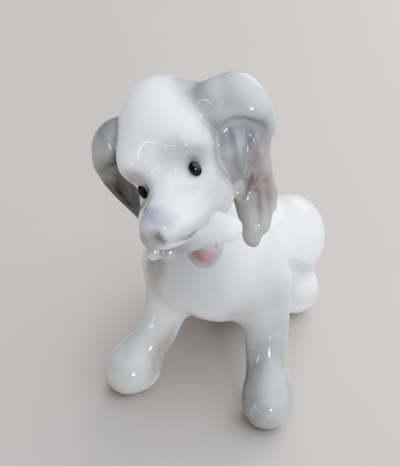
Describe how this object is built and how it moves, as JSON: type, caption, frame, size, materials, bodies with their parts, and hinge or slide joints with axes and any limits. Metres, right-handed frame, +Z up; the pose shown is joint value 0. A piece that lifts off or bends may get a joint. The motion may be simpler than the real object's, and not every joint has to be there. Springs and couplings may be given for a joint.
{
  "type": "dog figurine",
  "caption": "Glazed porcelain puppy sitting on its haunches with its head tilted, long folded ears, and a bone held crosswise in its mouth.",
  "frame": {"origin": "on the table plane, under the middle of the figurine's bounding box", "axes": "+Z up; the puppy faces -Y; its own left is +X"},
  "size_m": [0.0638, 0.0948, 0.1057],
  "materials": {
    "torso": "cool white porcelain under a clear gloss glaze",
    "head": "white porcelain with soft grey underglaze shading, gloss glaze",
    "ears": "grey underglaze wash, gloss glaze",
    "lower_jaw": "pale grey underglaze, gloss glaze",
    "tongue": "rose underglaze, gloss glaze",
    "bone": "white porcelain, gloss glaze",
    "eyes": "raised black enamel drop",
    "forelegs": "white porcelain with a light grey wash on the paws, gloss glaze",
    "hind_legs": "white porcelain, gloss glaze"
  },
  "bodies": {
    "root": {"torso": "torso", "head": "head", "left_ear": "ears", "right_ear": "ears", "lower_jaw": "lower_jaw", "tongue": "tongue", "bone": "bone", "left_eye": "eyes", "right_eye": "eyes", "left_foreleg": "forelegs", "right_foreleg": "forelegs", "left_hind_leg": "hind_legs", "right_hind_leg": "hind_legs", "tail": "hind_legs"}
  },
  "joints": []
}
